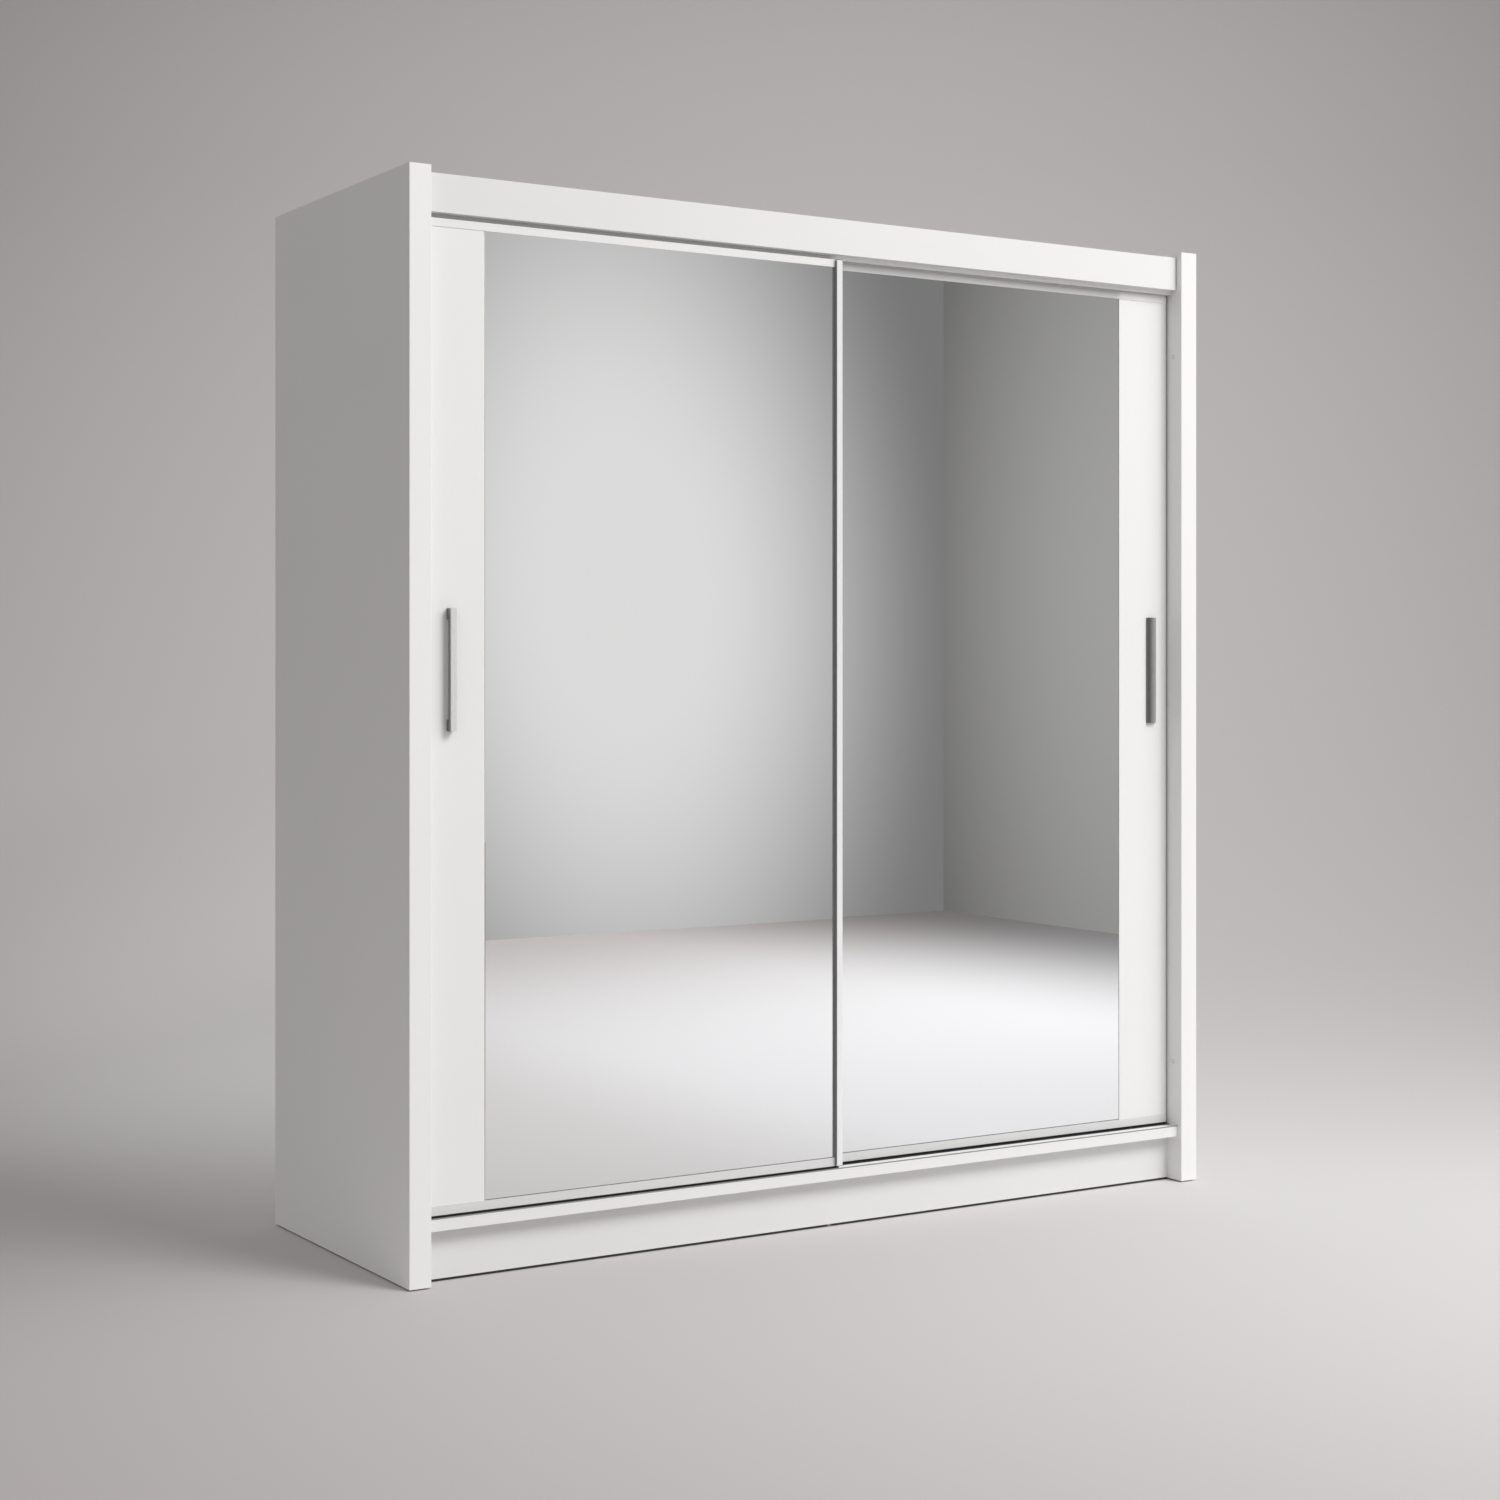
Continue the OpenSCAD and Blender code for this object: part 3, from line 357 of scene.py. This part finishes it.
FINISHES = {
    "white_board": board,
    "white_hardboard": fibre_board(),
    "white_edge_band": edge_band,
    "white_plastic": moulded("white_plastic", (0.78, 0.78, 0.77), rough=0.4),
    "satin_aluminium": rails,
    "chromed_steel": plated_metal("chromed_steel", (0.78, 0.79, 0.80), rough=0.06),
    "mirror_glass": silvered_glass(),
    "satin_steel": bar_steel,
    "grey_plastic": moulded("grey_plastic", (0.24, 0.25, 0.26), rough=0.45),
    "white_nylon": moulded("white_nylon", (0.74, 0.73, 0.70), rough=0.38),
    "white_rubber": moulded("white_rubber", (0.80, 0.80, 0.79), rough=0.6, grit=300, depth=0.0001),
    "zinc": plated_metal("zinc", (0.55, 0.56, 0.57), rough=0.38),
    "plated_steel": plated_metal("plated_steel", (0.66, 0.65, 0.62), rough=0.25),
    "beech": beech(),
}
OWN_FINISH = {
    "bottom_panel": deck_board,
    "fascia": fascia_board,
    "front_plinth": plinth_board,
    "top_track": head_track,
    "bottom_track": running_track(),
    "front_door_top_rail": front_rail,
    "front_door_stile": uprights,
    "rear_door_top_rail": rear_rail,
    "rear_door_edge_profile": uprights,
    "rear_door_handle": flat_steel,
}

for part in record["subparts"]:
    node = frame["nodes"][part["node"]]
    node.data.materials.clear()
    node.data.materials.append(OWN_FINISH.get(part["node"], FINISHES[part["material_slot"]]))

# ---- seals and brushes, their tones painting shade and light into gaps ---------------

CLEAR = 0.00005          # keeps a soft piece just off the piece it lies against
# Painted shade: a dark grey for the stile's shaded flank and the line along each mirror's foot
shade_strip = moulded("dark_shade_strip", (0.24, 0.24, 0.245), rough=0.55, grit=300, depth=0.0001)
# Painted shadow: black for the contact shadow under the plinth
shadow_seal = moulded("black_shadow_seal", (0.03, 0.03, 0.031), rough=0.6, grit=300, depth=0.0001)
# Painted shadow: black for the gap under each door
pile = moulded("black_shadow_pile", (0.02, 0.02, 0.021), rough=0.9, grit=1500, depth=0.0003)
# Painted light: a near-white for the pile in the shaded gap over the rear door
painted_light_pile = moulded("painted_light_pile", (0.93, 0.93, 0.925), rough=0.9, grit=1500, depth=0.0003)


def deselect():
    """Nothing selected, so that the next operator acts on its own piece alone"""
    for thing in bpy.context.selected_objects:
        thing.select_set(False)


def bar(name, low, high, soft=0.0):
    """A straight bar between two corners, with softened edges"""
    deselect()
    bpy.ops.mesh.primitive_cube_add(size=1, location=(0, 0, 0))
    piece = bpy.context.object
    piece.name = name
    bpy.ops.object.mode_set(mode="EDIT")
    bpy.ops.mesh.select_all(action="SELECT")
    bpy.ops.transform.resize(value=Vector(high) - Vector(low))
    bpy.ops.transform.translate(value=(Vector(low) + Vector(high)) / 2)
    if soft:
        bpy.ops.mesh.bevel(offset=soft, segments=2, affect="EDGES")
    bpy.ops.object.mode_set(mode="OBJECT")
    return piece


def finish_piece(piece, finish, body):
    """A piece's material and the body it rides on"""
    piece.data.materials.append(finish)
    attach(piece, body)


def stile_shade_strip():
    """Dark grey strip down the stile's flank, against the front door's mirror: painted shade for
    the flank in shadow
    """
    stile_low, stile_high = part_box("front_door_stile")
    glass_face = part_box("front_door_mirror")[0].y
    width, set_back, off_glass, short_of_end = 0.0008, 0.0006, 0.0001, 0.001
    strip = bar("front_door_stile_shade_strip",
                (stile_low.x - width, stile_low.y + set_back, stile_low.z + short_of_end),
                (stile_low.x - CLEAR, glass_face - off_glass, stile_high.z - short_of_end),
                0.0002)
    finish_piece(strip, shade_strip, "front_door")


def mirror_seal(door):
    """Thin seal where a mirror enters its bottom rail; its dark grey is painted shade for the dark
    line along the mirror's foot
    """
    glass_low, glass_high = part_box(door + "_mirror")
    rail_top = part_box(door + "_bottom_rail")[1].z
    depth, height, short_of_end = 0.0012, 0.0013, 0.001
    seal = bar(door + "_mirror_seal",
               (glass_low.x + short_of_end, glass_low.y - depth, rail_top + CLEAR),
               (glass_high.x - short_of_end, glass_low.y - CLEAR, rail_top + height), 0.0003)
    finish_piece(seal, shade_strip, door)


def top_pile():
    """Pile on the rear door's top rail, closing the gap under the track's middle lip; its pale
    tone is painted light over that shaded gap
    """
    rail_low, rail_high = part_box("rear_door_top_rail")
    front, back, height, short_of_end = 0.0004, 0.0024, 0.0018, 0.002
    pile_strip = bar("rear_door_top_pile",
                     (rail_low.x + short_of_end, rail_low.y + front, rail_high.z + CLEAR),
                     (rail_high.x - short_of_end, rail_low.y + back, rail_high.z + height))
    finish_piece(pile_strip, painted_light_pile, "rear_door")


def plinth_seal():
    """Lip seal under the front plinth, just clear of the floor; its black is painted shadow, for
    the contact shadow under the plinth
    """
    low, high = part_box("front_plinth")
    front, back, off_floor, short_of_end = 0.0015, 0.004, 0.0005, 0.001
    seal = bar("front_plinth_seal",
               (low.x + short_of_end, low.y + front, off_floor),
               (high.x - short_of_end, low.y + back, low.z - CLEAR), 0.0005)
    finish_piece(seal, shadow_seal, "carcass")


def door_brush(door):
    """Brush of dark pile under a door's bottom rail; its black is painted shadow, for the gap
    under the door
    """
    rail_low, rail_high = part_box(door + "_bottom_rail")
    front, back, length, short_of_end = 0.0006, 0.0026, 0.0045, 0.002
    brush = bar(door + "_bottom_brush",
                (rail_low.x + short_of_end, rail_low.y + front, rail_low.z - length),
                (rail_high.x - short_of_end, rail_low.y + back, rail_low.z - CLEAR))
    bpy.ops.object.mode_set(mode="EDIT")
    bpy.ops.mesh.select_all(action="SELECT")
    bpy.ops.mesh.subdivide(number_cuts=1)
    bpy.ops.object.mode_set(mode="OBJECT")
    finish_piece(brush, pile, door)


stile_shade_strip()
plinth_seal()
top_pile()
for door in ("front_door", "rear_door"):
    mirror_seal(door)
    door_brush(door)

# ---- stage ---------------------------------------------------------------------------

CAMERA_AT = Vector((-2.736, -4.350, 1.079))
CAMERA_TURN = math.radians(-32.05)
CAMERA_SENSOR, CAMERA_LENS, CAMERA_RISE = 36, 60.444, -0.0513
FORWARD = Vector((math.sin(-CAMERA_TURN), math.cos(-CAMERA_TURN), 0))
CAMERA_PLACE = CAMERA_AT.dot(FORWARD)
BLACK = (0, 0, 0)

# The room that the mirrors see, in front of the wardrobe and to its right
ROOM_FRONT = -5.42
ROOM_RIGHT = 4.08
ROOM_LEFT = -12
ROOM_HEIGHT = 4.6
RIGHT_WALL_LENGTH = 5.0
# Painted light: the plain glow at the far end of the front wall
WALL_END = (0.56, 0.557, 0.552)
FLOOR_HALF = 14

# The paper sweep behind the wardrobe: where it leaves the floor and where it stands upright,
# measured from the camera, and half its width
SWEEP_START, SWEEP_WALL, SWEEP_HALF = 5.7, 8.6, 14.0
SWEEP_LIFT = 0.001
SWEEP_CURVE, SWEEP_STEPS = 0.98, 32

# The floor's tone: a painted pool of light around one place, and painted shade by the right wall
GROUND_CENTRE, GROUND_REACH = (3.08, -0.478, 0), (7.373, 5.572, 5.572)
GROUND_LOW, GROUND_HIGH = (0.346, 0.315, 0.307), (0.755, 0.732, 0.739)
GROUND_FADE = (0.064, 0.728)
BY_WALL_START, BY_WALL_DARK = 2.13, 0.685
# Painted light: in the mirrors the floor in front of the right door is a little brighter
IN_MIRRORS = (1.105, 1.136, 1.149)
IN_MIRRORS_START, IN_MIRRORS_END = 0.05, 0.8
# The sweep's tone, a painted pool of light falling off to its edges, and the stretch over which
# the floor gives way to it
BEHIND_CENTRE, BEHIND_REACH = (-2.535, -2.719, 2.473), (12.639, 12.639, 6.46)
BEHIND_LOW, BEHIND_HIGH = (0.223, 0.206, 0.204), (1.0, 0.975, 0.967)
BEHIND_FADE = (0.303, 0.584)
FOOT_START, FOOT_END = CAMERA_PLACE + 4.6, CAMERA_PLACE + 7.09
# Painted light behind the wardrobe, lifting its cast shadow, and a painted shadow behind its left
# side
LIFT_CENTRE, LIFT_REACH = (-0.285, 1.498, 0), (1.74, 1.74, 2.89)
LIFT_TONE = (1.0, 0.985, 0.967)
DIM_CENTRE, DIM_REACH = (-1.645, 1.016, 0), (1.606, 1.606, 1.606)
DIM_MOST = (0.238, 0.238, 0.238)


def soft_patch(tree, place, centre, reach, low, high, fade=(0.0, 1.0), lean=0.0):
    """A tone that falls off softly from high to low around one place"""
    mapping = tree.nodes.new("ShaderNodeMapping")
    mapping.vector_type = "TEXTURE"
    mapping.inputs["Location"].default_value = centre
    mapping.inputs["Rotation"].default_value = (0, lean, 0)
    mapping.inputs["Scale"].default_value = reach
    ball = tree.nodes.new("ShaderNodeTexGradient")
    ball.gradient_type = "SPHERICAL"
    ramp = tree.nodes.new("ShaderNodeValToRGB")
    ramp.color_ramp.interpolation = "EASE"
    ramp.color_ramp.elements[0].position = fade[0]
    ramp.color_ramp.elements[0].color = (*low, 1)
    ramp.color_ramp.elements[1].position = fade[1]
    ramp.color_ramp.elements[1].color = (*high, 1)
    tree.links.new(place, mapping.inputs["Vector"])
    tree.links.new(mapping.outputs["Vector"], ball.inputs["Vector"])
    tree.links.new(ball.outputs["Fac"], ramp.inputs["Fac"])
    return ramp.outputs["Color"]


def along(tree, place, direction, start, end, most=1.0):
    """0 before start and the most past end, measured along one direction"""
    dot = tree.nodes.new("ShaderNodeVectorMath")
    dot.operation = "DOT_PRODUCT"
    dot.inputs[1].default_value = direction
    ranged = tree.nodes.new("ShaderNodeMapRange")
    ranged.interpolation_type = "SMOOTHSTEP"
    ranged.inputs["From Min"].default_value = start
    ranged.inputs["From Max"].default_value = end
    ranged.inputs["To Max"].default_value = most
    tree.links.new(place, dot.inputs[0])
    tree.links.new(dot.outputs["Value"], ranged.inputs["Value"])
    return ranged.outputs["Result"]


def one_sided(name, shader_type):
    """A paint that shows on its front and is clear from behind"""
    paint = bpy.data.materials.new(name)
    paint.use_nodes = True
    tree = paint.node_tree
    tree.nodes.clear()
    place = tree.nodes.new("ShaderNodeTexCoord")
    shader = tree.nodes.new(shader_type)
    clear = tree.nodes.new("ShaderNodeBsdfTransparent")
    sides = tree.nodes.new("ShaderNodeNewGeometry")
    either = tree.nodes.new("ShaderNodeMixShader")
    out = tree.nodes.new("ShaderNodeOutputMaterial")
    tree.links.new(sides.outputs["Backfacing"], either.inputs["Fac"])
    tree.links.new(shader.outputs[0], either.inputs[1])
    tree.links.new(clear.outputs[0], either.inputs[2])
    tree.links.new(either.outputs[0], out.inputs["Surface"])
    return paint, tree, place.outputs["Object"], shader.inputs["Color"]


def wall_paint(name, centre, reach, low, high, fade, lean=0.0, far=None):
    """A wall out of shot, seen only in the mirrors, glowing with painted light that is brighter to
    one side;
    far is the way along it to its plain painted end, and where that begins and is reached"""
    paint, tree, place, colour = one_sided(name, "ShaderNodeEmission")
    tone = soft_patch(tree, place, centre, reach, low, high, fade, lean)
    if far:
        tone = mixed(tree, along(tree, place, *far), tone, WALL_END)
    tree.links.new(tone, colour)
    return paint


def studio_paint():
    """One matt paint for the floor and the sweep, so that no line shows where they meet; it
    carries painted light and shade
    """
    paint, tree, place, colour = one_sided("studio_paint", "ShaderNodeBsdfDiffuse")
    # Painted pool of light on the floor
    ground = soft_patch(tree, place, GROUND_CENTRE, GROUND_REACH, GROUND_LOW, GROUND_HIGH,
                        GROUND_FADE)
    # Painted shade on the floor by the right wall
    by_right_wall = along(tree, place, (1, 0, 0), BY_WALL_START, ROOM_RIGHT, BY_WALL_DARK)
    ground = mixed(tree, by_right_wall, ground, BLACK)
    # Painted light on the floor, seen only in the mirrors
    rays = tree.nodes.new("ShaderNodeLightPath")
    right_half = along(tree, place, (1, 0, 0), IN_MIRRORS_START, IN_MIRRORS_END)
    shine = product(tree, rays.outputs["Is Glossy Ray"], right_half)
    ground = mixed(tree, shine, ground, IN_MIRRORS, "MULTIPLY")
    # Painted light on the sweep, falling off to its edges
    behind = soft_patch(tree, place, BEHIND_CENTRE, BEHIND_REACH, BEHIND_LOW, BEHIND_HIGH,
                        BEHIND_FADE)
    rise = along(tree, place, FORWARD, FOOT_START, FOOT_END)
    whole = mixed(tree, rise, ground, behind)
    # Painted light over the wardrobe's cast shadow, then painted shadow behind its left side
    lift = soft_patch(tree, place, LIFT_CENTRE, LIFT_REACH, BLACK, (1, 1, 1))
    whole = mixed(tree, lift, whole, LIFT_TONE)
    dim = soft_patch(tree, place, DIM_CENTRE, DIM_REACH, BLACK, DIM_MOST)
    tree.links.new(mixed(tree, dim, whole, BLACK), colour)
    return paint


def plane(name, corner, width, rise):
    """A plane from one corner, spanned by two edges"""
    deselect()
    bpy.ops.mesh.primitive_plane_add(size=1, location=(0, 0, 0))
    sheet = bpy.context.object
    sheet.name = name
    corners = [corner, corner + width, corner + width + rise, corner + rise]
    order = sorted(sheet.data.vertices, key=lambda v: math.atan2(v.co.y, v.co.x))
    for vertex, spot in zip(order, corners):
        vertex.co = spot
    return sheet


def flat_sheet(name, corner, width, rise):
    """The floor or a wall of the room"""
    sheet = plane(name, corner, width, rise)
    return sheet


def pick_edges(thing, wanted):
    """Edit mode, with only the edges between wanted points selected"""
    bpy.ops.object.mode_set(mode="EDIT")
    bpy.ops.mesh.select_mode(type="EDGE")
    bpy.ops.mesh.select_all(action="DESELECT")
    bpy.ops.object.mode_set(mode="OBJECT")
    for vertex, choose in zip(thing.data.vertices, wanted):
        vertex.select = choose
    for line in thing.data.edges:
        line.select = all(wanted[v] for v in line.vertices)
    bpy.ops.object.mode_set(mode="EDIT")


def backdrop():
    """Paper sweep behind the wardrobe, square to the camera"""
    side = Vector((FORWARD.y, -FORWARD.x, 0))
    start = Vector((CAMERA_AT.x, CAMERA_AT.y, SWEEP_LIFT)) + FORWARD * SWEEP_START
    depth = SWEEP_WALL - SWEEP_START
    sweep = plane("backdrop", start - side * SWEEP_HALF, side * (2 * SWEEP_HALF),
                  FORWARD * depth)
    at_back = [(v.co - start).dot(FORWARD) > depth / 2 for v in sweep.data.vertices]
    pick_edges(sweep, at_back)
    bpy.ops.mesh.extrude_region_move(TRANSFORM_OT_translate={"value": (0, 0, ROOM_HEIGHT)})
    bpy.ops.object.mode_set(mode="OBJECT")
    at_foot = [(v.co - start).dot(FORWARD) > depth / 2 and v.co.z < ROOM_HEIGHT / 2
               for v in sweep.data.vertices]
    pick_edges(sweep, at_foot)
    bpy.ops.mesh.bevel(offset=depth * SWEEP_CURVE, segments=SWEEP_STEPS, affect="EDGES")
    bpy.ops.object.mode_set(mode="OBJECT")
    bpy.ops.object.shade_smooth()
    return sweep


def out_of_the_light(sheet):
    """Seen, but neither lights nor shades the wardrobe"""
    sheet.visible_diffuse = False
    sheet.visible_shadow = False


def mirrors_only(wall):
    """A wall out of shot, there for the mirrors and the bare metal"""
    out_of_the_light(wall)
    wall.visible_camera = False


paper = studio_paint()
floor = flat_sheet("floor", Vector((-FLOOR_HALF, -FLOOR_HALF, 0)),
                   Vector((2 * FLOOR_HALF, 0, 0)), Vector((0, 2 * FLOOR_HALF, 0)))
floor.data.materials.append(paper)
sweep = backdrop()
sweep.data.materials.append(paper)
out_of_the_light(sweep)

# The walls glow with painted light rather than being lit
front_wall = flat_sheet("front_wall", Vector((ROOM_RIGHT, ROOM_FRONT, 0)),
                        Vector((ROOM_LEFT - ROOM_RIGHT, 0, 0)), Vector((0, 0, ROOM_HEIGHT)))
front_wall.data.materials.append(wall_paint(
    "front_wall_paint", centre=(2.39, ROOM_FRONT, 1.45), reach=(2.68, 2.68, 4.14),
    low=(0.194, 0.194, 0.192), high=(0.74, 0.737, 0.733), fade=(0.32, 0.877), lean=-0.09,
    far=((-1, 0, 0), -1.3, 0.6)))
mirrors_only(front_wall)

right_wall = flat_sheet("right_wall", Vector((ROOM_RIGHT, ROOM_FRONT + RIGHT_WALL_LENGTH, 0)),
                        Vector((0, -RIGHT_WALL_LENGTH, 0)), Vector((0, 0, ROOM_HEIGHT)))
right_wall.data.materials.append(wall_paint(
    "right_wall_paint", centre=(ROOM_RIGHT, -3.9, 1.457), reach=(3.15, 3.15, 4.75),
    low=(0.02, 0.02, 0.02), high=(0.368, 0.363, 0.352), fade=(0.061, 0.93)))
mirrors_only(right_wall)

# ---- light ---------------------------------------------------------------------------


def lamp(name, at, aim, size, power):
    """A soft box at one place, aimed at another"""
    deselect()
    bpy.ops.object.light_add(type="AREA", location=at)
    light = bpy.context.object
    light.name = name
    light.data.shape = "DISK"
    light.data.size = size
    light.data.energy = power
    light.rotation_euler = (Vector(aim) - Vector(at)).to_track_quat("-Z", "Y").to_euler()
    light.visible_camera = False
    light.visible_glossy = False


lamp("front_light", at=(3.0, -7.2, 7.0), aim=(0.2, -0.3, 0.9), size=4.5, power=577)
lamp("side_light", at=(5.5, -4.6, 4.0), aim=(0.1, -0.3, 0.9), size=3.0, power=78)

world = bpy.data.worlds.new("studio")
bpy.context.scene.world = world
world.use_nodes = True
fill_light = world.node_tree.nodes["Background"]
fill_light.inputs["Color"].default_value = (1.0, 0.992, 0.985, 1)
fill_light.inputs["Strength"].default_value = 0.483

# ---- camera --------------------------------------------------------------------------

deselect()
bpy.ops.object.camera_add(location=CAMERA_AT, rotation=(math.radians(90), 0, CAMERA_TURN))
camera = bpy.context.object
camera.name = "camera"
camera.data.sensor_width = CAMERA_SENSOR
camera.data.lens = CAMERA_LENS
camera.data.shift_y = CAMERA_RISE
camera.data.clip_end = 100
bpy.context.scene.camera = camera
bpy.context.scene.view_settings.view_transform = "Standard"
